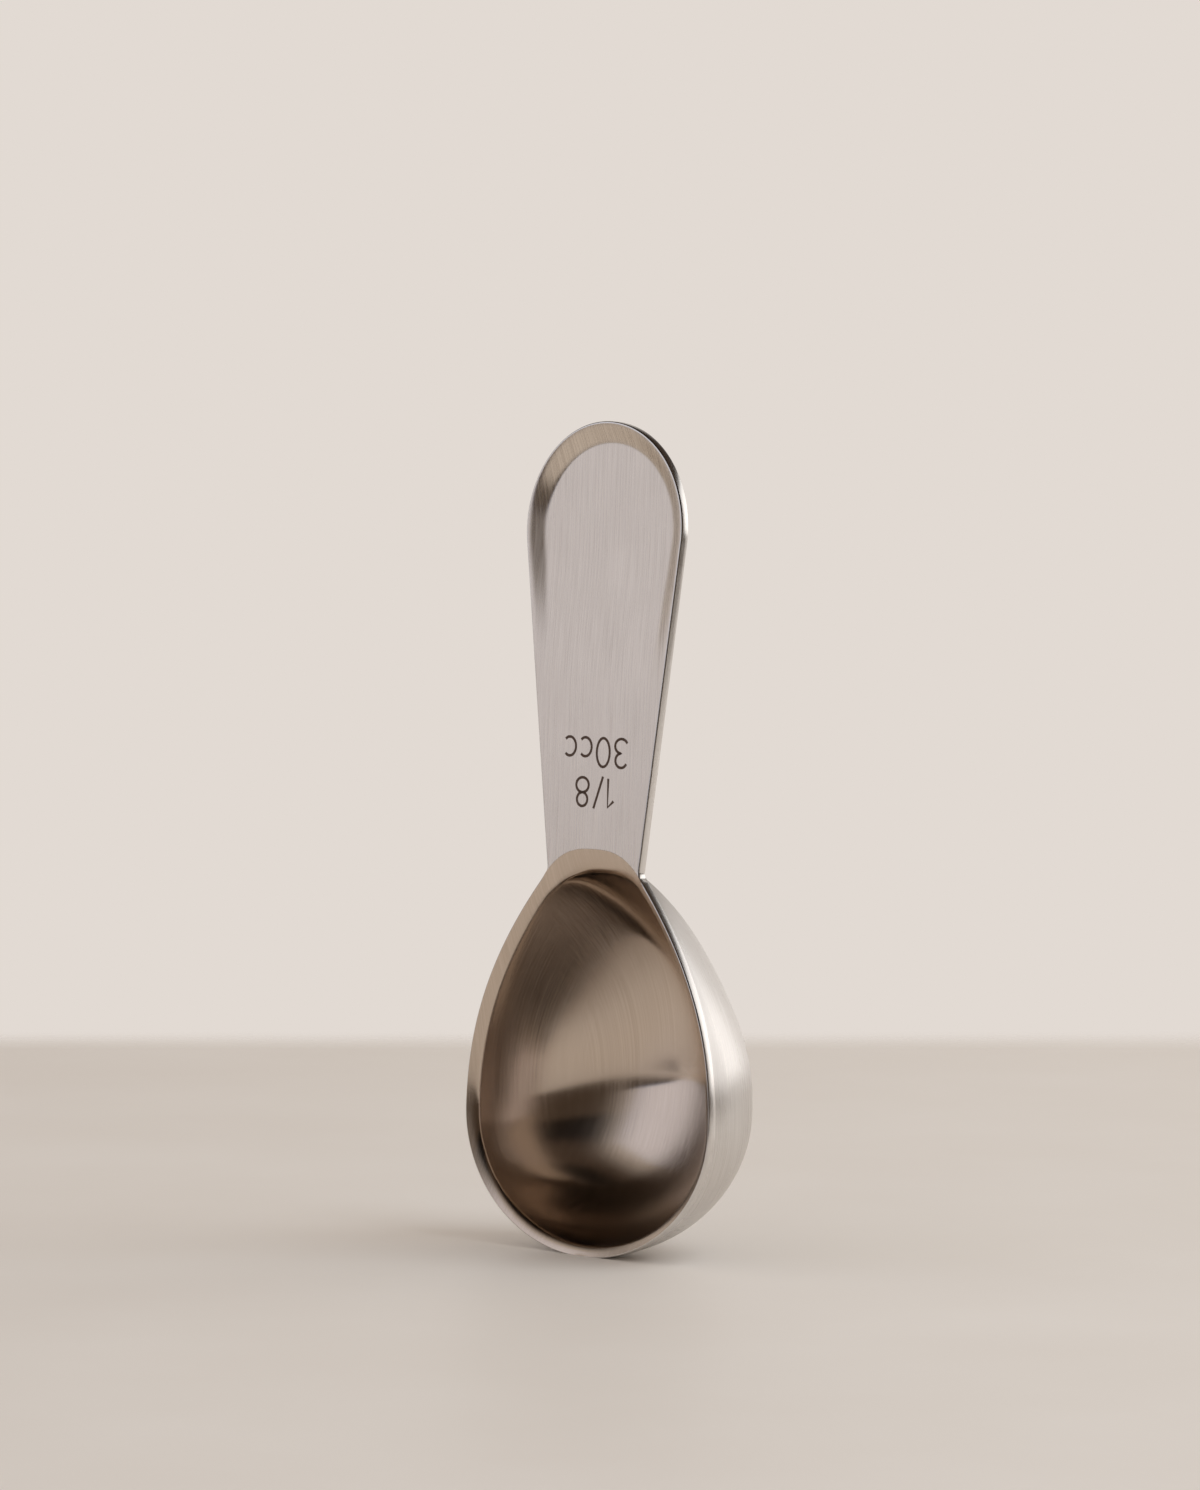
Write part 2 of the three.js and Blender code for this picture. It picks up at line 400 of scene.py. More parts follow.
@dataclass(frozen=True)
class BrushedSteel(Finish):
    """Stainless sheet brushed lengthways with a fine belt.

    The scratches run up the blade, so reflections stay crisp along them and smear across them.
    """

    light: str
    dark: str
    roughness: float
    roughness_spread: float
    anisotropy: float
    # A real belt scratch is a few hundredths of a millimetre wide: drawn coarser so that it shows
    grain_width: float = 0.3
    grain_length: float = 16.0
    grain_relief: float = 0.004
    relief_strength: float = 0.6
    # Values of the grain's noise between which the scratches go from dark to light
    streak_span: tuple[float, float] = (0.3, 0.7)
    # Sideways share of a face's direction at which the grain laid from the side sets in and takes over
    side_span: tuple[float, float] = (0.6, 0.8)
    cloud_size: float = 9.0
    cloud_roughness: float = 0.05

    def shader(self, tree: NodeTree) -> NodeSocket:
        """Wires scratches that vary the colour, the roughness and the relief, and a cloudy roughness.

        Args:
            tree: the material's node tree.

        Returns:
            The shader's output.
        """
        coordinates = add_node(tree, "ShaderNodeTexCoord").outputs
        place = coordinates["Object"]
        across = 1 / (self.grain_width * METRES)
        along = 1 / (self.grain_length * METRES)
        turned = add_node(
            tree, "ShaderNodeMapping",
            {"Vector": place, "Rotation": (STANCE.lean, 0, 0), "Scale": (across, across, along)},
        )
        # Scratches run straight down a sloping face, so the grain is laid from the front or from the side
        grains = []
        for axes in ((1, 0, 1), (0, 1, 1)):
            laid = add_node(
                tree, "ShaderNodeVectorMath", {0: turned.outputs[0], 1: axes}, {"operation": "MULTIPLY"},
            )
            noise = add_node(
                tree, "ShaderNodeTexNoise",
                {"Vector": laid.outputs[0], "Scale": 1.0, "Detail": 4.0, "Roughness": 0.62},
            )
            grains.append(noise.outputs["Fac"])
        facing = add_node(tree, "ShaderNodeSeparateXYZ", {0: coordinates["Normal"]})
        sideways = add_node(tree, "ShaderNodeMath", {0: facing.outputs["X"]}, {"operation": "ABSOLUTE"})
        side_share = add_node(
            tree, "ShaderNodeMapRange",
            {"Value": sideways.outputs[0], "From Min": self.side_span[0], "From Max": self.side_span[1]},
        )
        # A plain number's mix has its factor at place 0 and its two ends at places 2 and 3
        grain = add_node(
            tree, "ShaderNodeMix", {0: side_share.outputs[0], 2: grains[0], 3: grains[1]},
        ).outputs[0]
        cloud = add_node(
            tree, "ShaderNodeTexNoise",
            {"Vector": place, "Scale": 1 / (self.cloud_size * METRES), "Detail": 3.0, "Roughness": 0.55},
        )
        streak = add_node(
            tree, "ShaderNodeMapRange",
            {"Value": grain, "From Min": self.streak_span[0], "From Max": self.streak_span[1]},
        )
        rough_streak = add_node(
            tree, "ShaderNodeMapRange",
            {
                "Value": streak.outputs[0],
                "To Min": self.roughness - self.roughness_spread,
                "To Max": self.roughness + self.roughness_spread,
            },
        )
        rough_cloud = add_node(
            tree, "ShaderNodeMath",
            {0: cloud.outputs["Fac"], 1: self.cloud_roughness, 2: rough_streak.outputs[0]},
            {"operation": "MULTIPLY_ADD"},
        )
        colour = add_node(
            tree, "ShaderNodeMix",
            {"Factor": streak.outputs[0], "A": linear(self.dark), "B": linear(self.light)},
            {"data_type": "RGBA"},
        )
        bump = add_node(
            tree, "ShaderNodeBump",
            {"Height": grain, "Strength": self.relief_strength, "Distance": self.grain_relief * METRES},
        )
        normal = add_node(tree, "ShaderNodeNewGeometry").outputs["Normal"]
        smear = add_node(
            tree, "ShaderNodeVectorMath",
            {0: tuple(STANCE.axis()), 1: normal},
            {"operation": "CROSS_PRODUCT"},
        )
        return add_node(
            tree, "ShaderNodeBsdfPrincipled",
            {
                "Base Color": colour.outputs[2], "Metallic": 1.0, "Roughness": rough_cloud.outputs[0],
                "Anisotropic": self.anisotropy, "Tangent": smear.outputs[0], "Normal": bump.outputs[0],
            },
        ).outputs[0]


@dataclass(frozen=True)
class Mottled(Finish):
    """A finish whose colour wanders between two tones in patches of one size, in millimetres."""

    light: str
    dark: str
    patch: float
    detail: float

    def colour(self, tree: NodeTree) -> NodeSocket:
        """Wires the colour.

        Args:
            tree: the material's node tree.

        Returns:
            The colour's output.
        """
        place = add_node(tree, "ShaderNodeTexCoord").outputs["Object"]
        noise = add_node(
            tree, "ShaderNodeTexNoise",
            {"Vector": place, "Scale": 1 / (self.patch * METRES), "Detail": self.detail},
        )
        mixed = add_node(
            tree, "ShaderNodeMix",
            {"Factor": noise.outputs["Fac"], "A": linear(self.dark), "B": linear(self.light)},
            {"data_type": "RGBA"},
        )
        return mixed.outputs[2]


@dataclass(frozen=True)
class EtchedOxide(Mottled):
    """Laser-annealed mark on stainless: a thin dark brown oxide, matt beside the bright steel."""

    name: str = "laser_etched_oxide"
    light: str = "#5c4636"
    dark: str = "#3a2a1f"
    # Pulses of the laser overlap every tenth of a millimetre
    patch: float = 0.1
    detail: float = 2.0
    roughness: float = 0.55
    metallic: float = 0.3

    def shader(self, tree: NodeTree) -> NodeSocket:
        """Wires the oxide, through which a little of the metal shows.

        Args:
            tree: the material's node tree.

        Returns:
            The shader's output.
        """
        return add_node(
            tree, "ShaderNodeBsdfPrincipled",
            {"Base Color": self.colour(tree), "Metallic": self.metallic, "Roughness": self.roughness},
        ).outputs[0]


@dataclass(frozen=True)
class PaleTable(Mottled):
    """Honed pale stone, matt and warm, that fades out at the far border of the table."""

    name: str = "pale_honed_table"
    light: str = "#e0d9d2"
    dark: str = "#d8cfc6"
    patch: float = 60.0
    detail: float = 4.0
    roughness: float = 0.5
    # The far border lies where the photograph's floor meets the wall
    behind: float = 315.0
    fade: float = 40.0

    def shader(self, tree: NodeTree) -> NodeSocket:
        """Wires the stone and its fade.

        Args:
            tree: the material's node tree.

        Returns:
            The shader's output.
        """
        stone = add_node(
            tree, "ShaderNodeBsdfPrincipled",
            {"Base Color": self.colour(tree), "Roughness": self.roughness},
        )
        # The table's own mesh carries how far each point lies from the scoop to the side and behind
        spot = add_node(tree, "ShaderNodeUVMap", settings={"uv_map": TABLE_PLAN})
        plan = add_node(tree, "ShaderNodeSeparateXYZ", {0: spot.outputs[0]})
        border = add_node(
            tree, "ShaderNodeMapRange",
            {"Value": plan.outputs["Y"], "From Min": self.behind - self.fade, "From Max": self.behind},
            {"interpolation_type": "SMOOTHSTEP"},
        )
        gone = add_node(tree, "ShaderNodeBsdfTransparent")
        return add_node(
            tree, "ShaderNodeMixShader",
            {0: border.outputs[0], 1: stone.outputs[0], 2: gone.outputs[0]},
        ).outputs[0]


@dataclass(frozen=True)
class DarkCloth(Finish):
    """Matt cloth that the steel mirrors as an unlit room, thinning out round the gaps in it.

    Its shades are painted room light and shade by height: brown near the table and in a band high up, and
    nearly black between them and above.
    """

    name: str = "dark_studio_cloth"
    radius: float = 1100.0
    # Share of the radius above the table, and the colour there
    shades: tuple = (
        (0.0, "#54493f"), (0.3, "#54493f"), (0.42, "#1e1915"), (0.6, "#1a1512"), (0.75, "#4c4036"),
        (0.87, "#4c4036"), (0.92, "#100d0b"),
    )

    def shader(self, tree: NodeTree) -> NodeSocket:
        """Wires the shades by height, and the cover that each point of a screen carries.

        Args:
            tree: the material's node tree.

        Returns:
            The shader's output.
        """
        place = add_node(tree, "ShaderNodeTexCoord").outputs["Object"]
        height = add_node(tree, "ShaderNodeSeparateXYZ", {0: place}).outputs["Z"]
        share = add_node(
            tree, "ShaderNodeMath", {0: height, 1: self.radius * METRES}, {"operation": "DIVIDE"},
        )
        ramp = add_node(tree, "ShaderNodeValToRGB", {"Fac": share.outputs[0]})
        stops = ramp.color_ramp.elements
        for stop, (level, colour) in enumerate(self.shades):
            if stop >= len(stops):
                stops.new(level)
            stops[stop].position = level
            stops[stop].color = linear(colour)
        cover = add_node(tree, "ShaderNodeAttribute", settings={"attribute_name": COVER}).outputs["Fac"]
        thin = add_node(tree, "ShaderNodeBsdfTransparent")
        dark = add_node(tree, "ShaderNodeBsdfDiffuse", {"Color": ramp.outputs[0]})
        return add_node(
            tree, "ShaderNodeMixShader", {0: cover, 1: thin.outputs[0], 2: dark.outputs[0]},
        ).outputs[0]


# A drawn bowl brushed with a fine belt inside: it mirrors the room darkly and blurs it sideways
# Its colour is darker and warmer than the outside of the same sheet: painted shade of the dim, warm room
# that the bowl faces
BOWL_INSIDE = BrushedSteel(
    "satin_brushed_stainless_inside_painted_shade", "#d6c7b9", "#c3b4a5", 0.15, 0.03, 0.9,
    grain_width=0.15, grain_relief=0.006,
)
# The same bowl brushed with a coarser belt outside: lights spread over it in broad pale sheets
BOWL_OUTSIDE = BrushedSteel(
    "satin_brushed_stainless_outside", "#e8e5e2", "#cbc7c3", 0.3, 0.08, 0.8,
    grain_width=0.22, grain_relief=0.006,
)
# A flat blade brushed along its length: an even grey face with fine upright streaks
# Its warm tone, warmer than the outside of the same sheet, is painted: the warm room that the face mirrors
BLADE_FACE = BrushedSteel("satin_brushed_stainless_blade", "#eadfd2", "#c2b7ab", 0.26, 0.06, 0.9)
# A cut edge rounded in a tumbler: smooth, so that it catches light as a thin bright line
CUT_EDGE = BrushedSteel(
    "tumbled_stainless_edge", "#dedbd8", "#d0ccc8", 0.2, 0.03, 0.2, grain_length=3.0, grain_relief=0.001,
)
# A bead ground down by hand: duller and a little yellower than the sheet beside it
WELD_METAL = BrushedSteel(
    "ground_weld_stainless", "#c4bdb2", "#a79f95", 0.34, 0.06, 0.0, grain_length=1.2, grain_width=0.3,
)


# Pieces


@dataclass
class Bowl:
    """The drawn egg-shaped bowl: rim, cut edge, soft lip, steep walls and a ramp up to the neck."""

    rim_half_width: float = 25.3
    widest_height: float = 20.9
    flare: float = math.radians(42)
    flank_lower_reach: float = 12.0
    flank_upper_reach: float = 17.8
    depth: float = 24.2
    deepest_height: float = 26.5
    ramp_share: float = 0.75
    ramp_power: float = 3.0
    ramp_height: float = 52.0
    lip_width: float = 1.7
    lip_drop: float = 1.5
    neck_lip_width: float = 3.6
    neck_lip_drop: float = 2.5
    neck_lip_run: float = 2.0
    neck_back_drop: float = 1.6
    # Where the tangent at the rim points, as shares of the lip's width and drop
    lip_slope: tuple[float, float] = (0.62, 0.38)
    # How far across the lip its last control point lies above the ramp: 1 would be an upright wall
    ramp_lip_end: float = 0.84
    edge_break: float = 0.2
    edge_end_run: float = 1.0
    lower_steps: int = 72
    flank_steps: int = 64
    crown_steps: int = 36
    wall_rings: int = 60
    lip_rings: int = 14
    break_rings: int = 5
    soften_passes: int = 24
    wall_passes: int = 10

    def rim(self) -> tuple[np.ndarray, np.ndarray]:
        """Works out the closed rim, up the right side and down the left.

        Returns:
            The points and the inward direction at each, as rows of x and z.
        """
        turn = np.linspace(-math.pi / 2, 0, self.lower_steps + 1)
        lower = np.column_stack([
            self.rim_half_width * np.cos(turn),
            self.widest_height * (1 + np.sin(turn)),
        ])
        lower[0, 0] = 0
        corner = np.array([NECK.half_width, NECK.height])
        down_flank = np.array([math.sin(self.flare), -math.cos(self.flare)])
        flank = bezier(
            [
                (self.rim_half_width, self.widest_height),
                (self.rim_half_width, self.widest_height + self.flank_lower_reach),
                corner + down_flank * self.flank_upper_reach,
                corner,
            ],
            self.flank_steps,
        )
        across = np.linspace(NECK.half_width, 0, self.crown_steps + 1)
        crown = np.column_stack([across, NECK.crown(across)])
        right = np.vstack([lower, flank[1:], crown[1:]])
        left = right[-2:0:-1] * (-1, 1)
        points = np.vstack([right, left])
        along = np.roll(points, -1, axis=0) - np.roll(points, 1, axis=0)
        along /= np.linalg.norm(along, axis=1)[:, None]
        return points, np.column_stack([-along[:, 1], along[:, 0]])

    def ramp(self, height: np.ndarray) -> np.ndarray:
        """How far the wall below each height of the rim is a ramp and not a round section."""
        return self.ramp_share * smoothstep(height, self.deepest_height, self.ramp_height)

    def depth_share(self, out: float, height: np.ndarray) -> np.ndarray:
        """Share of the full depth on the way from the rim (out 1) to the deepest point (out 0).

        Args:
            out: share of the way out.
            height: height of the rim points.

        Returns:
            A round section low down, which gives way to a ramp with a rounded foot at the neck.
        """
        return lerp(math.sqrt(1 - out * out), 1 - out ** self.ramp_power, self.ramp(height))

    def wall(self, start: np.ndarray, floor: float) -> list[np.ndarray]:
        """Rings of a wall that closes from a starting ring towards the deepest point.

        Args:
            start: the starting ring.
            floor: depth of the deepest point.

        Returns:
            The rings, the starting one first.
        """
        rings = []
        ring = start
        near_neck = self.ramp(start[:, 2])[:, None]
        for step in range(self.wall_rings):
            out = math.cos(step / self.wall_rings * math.pi / 2)
            rings.append(np.column_stack([
                ring[:, 0] * out,
                lerp(ring[:, 1], floor, self.depth_share(out, ring[:, 2])),
                lerp(self.deepest_height, ring[:, 2], out),
            ]))
            # The corners of the neck fade out on the way down the ramp
            ring = lerp(ring, soften(ring, self.wall_passes), near_neck)
        return rings

    def rings(self) -> tuple[list[np.ndarray], list[Surface]]:
        """Stacks the rings from the inner floor over the rim to the outer floor.

        Returns:
            The rings, and the surface between each ring and the next.
        """
        points, inward = self.rim()
        near_neck = smoothstep(points[:, 1], NECK.height - self.neck_lip_run, NECK.top)
        width = lerp(self.lip_width, self.neck_lip_width, near_neck)
        drop = lerp(self.lip_drop, self.neck_lip_drop, near_neck)
        # The cut edge stops at the neck, where the bowl meets the blade
        free_edge = 1 - smoothstep(points[:, 1], NECK.height - self.edge_end_run, NECK.height)
        rounding = self.edge_break * free_edge
        behind_lip = (self.neck_lip_width - self.lip_width) * near_neck

        def inset(distance: np.ndarray) -> np.ndarray:
            """The rim moved inwards in its own plane."""
            return points + inward * np.broadcast_to(distance, len(points))[:, None]

        def sunk(flat: np.ndarray, depth: np.ndarray) -> np.ndarray:
            """A flat ring at a depth behind the plane of the rim."""
            return np.column_stack([flat[:, 0], np.broadcast_to(depth, len(points)), flat[:, 1]])

        # A bevel that leaves the rim at one angle and rolls over into the wall
        upright, sloping = (
            bezier([(0, 0), self.lip_slope, (end, self.lip_slope[0]), (1, 1)], self.lip_rings)
            for end in (1, self.ramp_lip_end)
        )
        ramp = self.ramp(points[:, 1])
        front_edge = inset(rounding)
        mouth = soften(inset(width), self.soften_passes)
        lip = [
            sunk(
                lerp(front_edge, mouth, lerp(a[0], b[0], ramp)[:, None]),
                drop * lerp(a[1], b[1], ramp),
            )
            for a, b in zip(upright[::-1], sloping[::-1])
        ]
        quarter = np.linspace(0, math.pi / 2, self.break_rings)
        front_break = [
            sunk(inset(rounding * (1 - math.sin(a))), rounding * (1 - math.cos(a))) for a in quarter
        ]
        back_break = [
            sunk(inset(rounding * (1 - math.cos(a))), NECK.sheet - rounding * (1 - math.sin(a)))
            for a in quarter
        ]
        back_fall = behind_lip * self.neck_back_drop / self.neck_lip_width
        outer_rim = soften(inset(behind_lip + rounding), self.soften_passes)
        outer_start = sunk(outer_rim, NECK.sheet + back_fall)
        inside = self.wall(lip[0], self.depth - NECK.sheet)[:0:-1]
        outside = self.wall(outer_start, self.depth)
        stack = [*inside, *lip, *front_break[1:], *back_break, *outside[1:]]
        edge_from = len(inside) + len(lip) - 1
        edge_to = edge_from + len(front_break) + len(back_break) - 1
        surfaces = [
            Surface.INSIDE if i < edge_from else Surface.EDGE if i < edge_to else Surface.OUTSIDE
            for i in range(len(stack) - 1)
        ]
        return stack, surfaces

    def build(self) -> Mesh:
        """Skins the rings as one closed shell and flattens the foot that the scoop stands on.

        Returns:
            The mesh, in the frame of the solids.
        """
        stack, ring_surfaces = self.rings()
        count = len(stack[0])
        inner_pole = np.array([[0, self.depth - NECK.sheet, self.deepest_height]])
        outer_pole = np.array([[0, self.depth, self.deepest_height]])
        points = STANCE.place(np.vstack([inner_pole, *stack, outer_pole]))
        points[:, 2] = np.maximum(points[:, 2], 0)
        last = len(points) - 1
        around = [(i, (i + 1) % count) for i in range(count)]
        faces = [(0, 1 + i, 1 + j) for i, j in around]
        surfaces = [Surface.INSIDE] * count
        for level, surface in enumerate(ring_surfaces):
            low = 1 + level * count
            high = low + count
            faces += [(low + i, high + i, high + j, low + j) for i, j in around]
            surfaces += [surface] * count
        top = 1 + (len(stack) - 1) * count
        faces += [(last, top + j, top + i) for i, j in around]
        surfaces += [Surface.OUTSIDE] * count
        return closed_mesh("bowl_shell", points, faces, surfaces)

    def dress(self) -> Object:
        """Builds the bowl, gives it its finishes and puts it in the place of its solid.

        Returns:
            The dressed bowl.
        """
        piece = new_object("bowl_shell", self.build())
        for finish in (BOWL_INSIDE, CUT_EDGE, BOWL_OUTSIDE):
            piece.data.materials.append(finish.material())
        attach(piece, BODY)
        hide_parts("bowl")
        return piece


@dataclass
class Handle:
    """The blade: straight sides that open out to a half-round end, with a shallow dished panel."""

    length: float = STANCE.length
    end_radius: float = 16.1
    dish_depth: float = 1.4
    dish_bevel: float = 3.4
    dish_rounding: float = 0.3
    dish_full_from_end: float = 17.0
    dish_gone_from_end: float = 42.0
    fillet_length: float = 0.9
    fillet_spread: float = 0.15
    butt_gap: float = 0.02
    edge_break: float = 0.25
    arch_fade: float = 24.0
    fillet_steps: int = 6
    side_steps: int = 110
    end_steps: int = 84
    break_steps: int = 5
    bevel_steps: int = 18
    panel_steps: int = 40

    def side(self) -> tuple[np.ndarray, np.ndarray]:
        """Works out the right side from the neck corner up to the middle of the round end.

        Returns:
            The stations and the inward direction at each, as rows of x and z.
        """
        foot = NECK.height + self.butt_gap
        root = np.array([NECK.half_width - self.fillet_spread, foot + self.fillet_length])
        centre = np.array([0, self.length - self.end_radius])
        to_centre = centre - root
        reach = np.linalg.norm(to_centre)
        turn = math.asin(self.end_radius / reach)
        heading = math.atan2(to_centre[1], to_centre[0]) - turn
        direction = np.array([math.cos(heading), math.sin(heading)])
        tangent = root + direction * reach * math.cos(turn)
        fillet = bezier(
            [(NECK.half_width, foot), root - direction * self.fillet_length / 2, root],
            self.fillet_steps,
        )
        straight = bezier([root, tangent], self.side_steps)
        sweep = np.linspace(heading - math.pi / 2, math.pi / 2, self.end_steps + 1)
        end = centre + self.end_radius * np.column_stack([np.cos(sweep), np.sin(sweep)])
        stations = np.vstack([fillet, straight[1:], end[1:]])
        along = np.gradient(stations, axis=0)
        along /= np.linalg.norm(along, axis=1)[:, None]
        inward = np.column_stack([-along[:, 1], along[:, 0]])
        stations[-1, 0] = 0
        inward[-1] = (0, -1)
        return stations, inward

    def rows(self) -> tuple[np.ndarray, np.ndarray]:
        """Lays rows across the blade, one at each station of its side.

        Returns:
            The grid of points of the front (rows, columns, xyz), and the rounding of the edge break
            at each of them, by which the front sinks and the back rises.
        """
        stations, inward = self.side()
        turns = np.linspace(0, math.pi / 2, self.break_steps)
        insets = np.concatenate([
            self.edge_break * (1 - np.cos(turns)),
            np.linspace(self.edge_break, self.dish_bevel, self.bevel_steps + 1)[1:],
        ])
        side_x, side_z = stations[:, :1], stations[:, 1:]
        bow = np.maximum(0, 1 - (side_z - side_z[0]) / self.arch_fade)

        def height(x: np.ndarray, square_rise: np.ndarray) -> np.ndarray:
            """Height of a row, which follows the arch at the neck and straightens above it."""
            return side_z + lerp(square_rise, NECK.crown(x) - NECK.crown(side_x), bow)

        edge_x = side_x + inward[:, :1] * insets
        edge_z = height(edge_x, inward[:, 1:] * insets)
        spread = 1 - 2 * np.arange(1, self.panel_steps) / self.panel_steps
        panel_x = edge_x[:, -1:] * spread
        panel_z = height(panel_x, inward[:, 1:] * self.dish_bevel)
        dished = smoothstep(
            edge_z, self.length - self.dish_gone_from_end, self.length - self.dish_full_from_end,
        )
        edge_y = self.dish_depth * chamfer(insets / self.dish_bevel, self.dish_rounding) * dished
        panel_y = np.repeat(edge_y[:, -1:], self.panel_steps - 1, axis=1)
        to_flat = np.maximum(self.edge_break - insets, 0)
        corner = self.edge_break - np.sqrt(self.edge_break ** 2 - to_flat ** 2)
        x = np.hstack([edge_x, panel_x, -edge_x[:, ::-1]])
        y = np.hstack([edge_y, panel_y, edge_y[:, ::-1]])
        z = np.hstack([edge_z, panel_z, edge_z[:, ::-1]])
        rounding = np.concatenate([corner, np.zeros(self.panel_steps - 1), corner[::-1]])
        return np.dstack([x, y, z]), rounding

    def build(self) -> Mesh:
        """Skins the front and the back of the sheet and walls them round their border.

        Returns:
            The mesh, in the frame of the solids.
        """
        front, rounding = self.rows()
        back = front.copy()
        front[:, :, 1] += rounding
        back[:, :, 1] += NECK.sheet - rounding
        rows, columns = front.shape[:2]
        points = STANCE.place(np.vstack([front.reshape(-1, 3), back.reshape(-1, 3)]))
        behind = rows * columns
        faces = []
        surfaces = []

        def quad(corners: tuple[int, ...], surface: Surface) -> None:
            """Adds one face."""
            faces.append(corners)
            surfaces.append(surface)

        for i in range(rows - 1):
            for j in range(columns - 1):
                a = i * columns + j
                b = a + columns
                border = min(j, columns - 2 - j) < self.break_steps - 1
                quad((a, b, b + 1, a + 1), Surface.EDGE if border else Surface.INSIDE)
                a, b = a + behind, b + behind
                quad((a, a + 1, b + 1, b), Surface.EDGE if border else Surface.OUTSIDE)
            right = i * columns
            left = right + columns - 1
            quad((right, right + behind, right + columns + behind, right + columns), Surface.EDGE)
            quad((left, left + columns, left + columns + behind, left + behind), Surface.EDGE)
        for j in range(columns - 1):
            quad((j, j + 1, j + 1 + behind, j + behind), Surface.EDGE)
        return closed_mesh("handle_blade", points, faces, surfaces)

    def dress(self) -> Object:
        """Builds the blade, gives it its finishes and puts it in the place of its solid.

        Returns:
            The dressed blade.
        """
        piece = new_object("handle_blade", self.build())
        for finish in (BLADE_FACE, CUT_EDGE, BOWL_OUTSIDE):
            piece.data.materials.append(finish.material())
        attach(piece, BODY)
        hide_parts("handle")
        return piece


@dataclass
class NeckWeld:
    """The bead across the back of the neck, with the ripples that a weld leaves along it."""

    reach: float = 8.3
    half_width: float = 1.3
    crest: float = 0.75
    ripples: int = 13
    ripple_depth: float = 0.05
    path_points: int = 220
    section_points: int = 24
    end_radius: float = 0.06

    def tree(self) -> NodeTree:
        """Builds the geometry tree: an ellipse swept along the arch, swelling at each ripple.

        Returns:
            The tree, whose inputs are the bead's sizes in millimetres.
        """
        tree, given = new_geometry_tree("weld_bead", {
            "Half Width": "NodeSocketFloat",
            "Crest": "NodeSocketFloat",
            "Ripples": "NodeSocketFloat",
            "Ripple Depth": "NodeSocketFloat",
            "End Radius": "NodeSocketFloat",
            "Material": "NodeSocketMaterial",
        })
        known = {
            "along": add_node(tree, "GeometryNodeSplineParameter").outputs["Factor"],
            "ripples": given["Ripples"],
            "ripple depth": given["Ripple Depth"],
            "end radius": given["End Radius"],
        }
        # The radius along the path: rounded off at both ends, and larger at each ripple
        formula = (
            ("off middle", "MULTIPLY_ADD", ("along", 2.0, -1.0)),
            ("square", "MULTIPLY", ("off middle", "off middle")),
            ("inside", "SUBTRACT", (1.0, "square")),
            ("taper", "SQRT", ("inside",)),
            ("phase", "MULTIPLY", ("along", "ripples")),
            ("half turns", "MULTIPLY", ("phase", math.pi)),
            ("wave", "SINE", ("half turns",)),
            ("scallop", "ABSOLUTE", ("wave",)),
            ("swell", "MULTIPLY_ADD", ("scallop", "ripple depth", 1.0)),
            ("size", "MULTIPLY", ("taper", "swell")),
            ("radius", "MAXIMUM", ("size", "end radius")),
        )
        for result, operation, terms in formula:
            inputs = {place: known.get(term, term) for place, term in enumerate(terms)}
            known[result] = add_node(tree, "ShaderNodeMath", inputs, {"operation": operation}).outputs[0]
        path = add_node(
            tree, "GeometryNodeSetCurveRadius", {"Curve": given["Geometry"], "Radius": known["radius"]},
        )
        scale = add_node(
            tree, "ShaderNodeCombineXYZ", {"X": given["Half Width"], "Y": given["Crest"], "Z": 1.0},
        )
        circle = add_node(
            tree, "GeometryNodeCurvePrimitiveCircle", {"Resolution": self.section_points, "Radius": 1.0},
        )
        section = add_node(
            tree, "GeometryNodeTransform", {"Geometry": circle.outputs[0], "Scale": scale.outputs[0]},
        )
        finish_sweep(tree, path.outputs[0], section.outputs[0], given["Material"])
        return tree

    def dress(self) -> Object:
        """Sweeps the bead along the arch and lays it on the back of the sheet.

        Returns:
            The dressed bead.
        """
        x = np.linspace(-self.reach, self.reach, self.path_points)
        path = poly_curve("weld_path", [np.column_stack([x, NECK.crown(x)])], [False])
        mesh = baked_nodes(path, self.tree(), {
            "Half Width": self.half_width,
            "Crest": self.crest,
            "Ripples": float(self.ripples),
            "Ripple Depth": self.ripple_depth,
            "End Radius": self.end_radius,
            "Material": WELD_METAL.material(),
        })
        # The path lies flat: its Y goes up the neck, and its Z stands off the back of the sheet
        onto_back = Matrix(((1, 0, 0, 0), (0, 0, 1, NECK.sheet), (0, 1, 0, 0), (0, 0, 0, 1)))
        mesh.transform(STANCE.matrix() @ onto_back)
        mesh.flip_normals()
        mesh.name = "neck_weld_bead"
        piece = new_object("neck_weld_bead", mesh)
        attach(piece, BODY)
        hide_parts("neck_weld")
        return piece


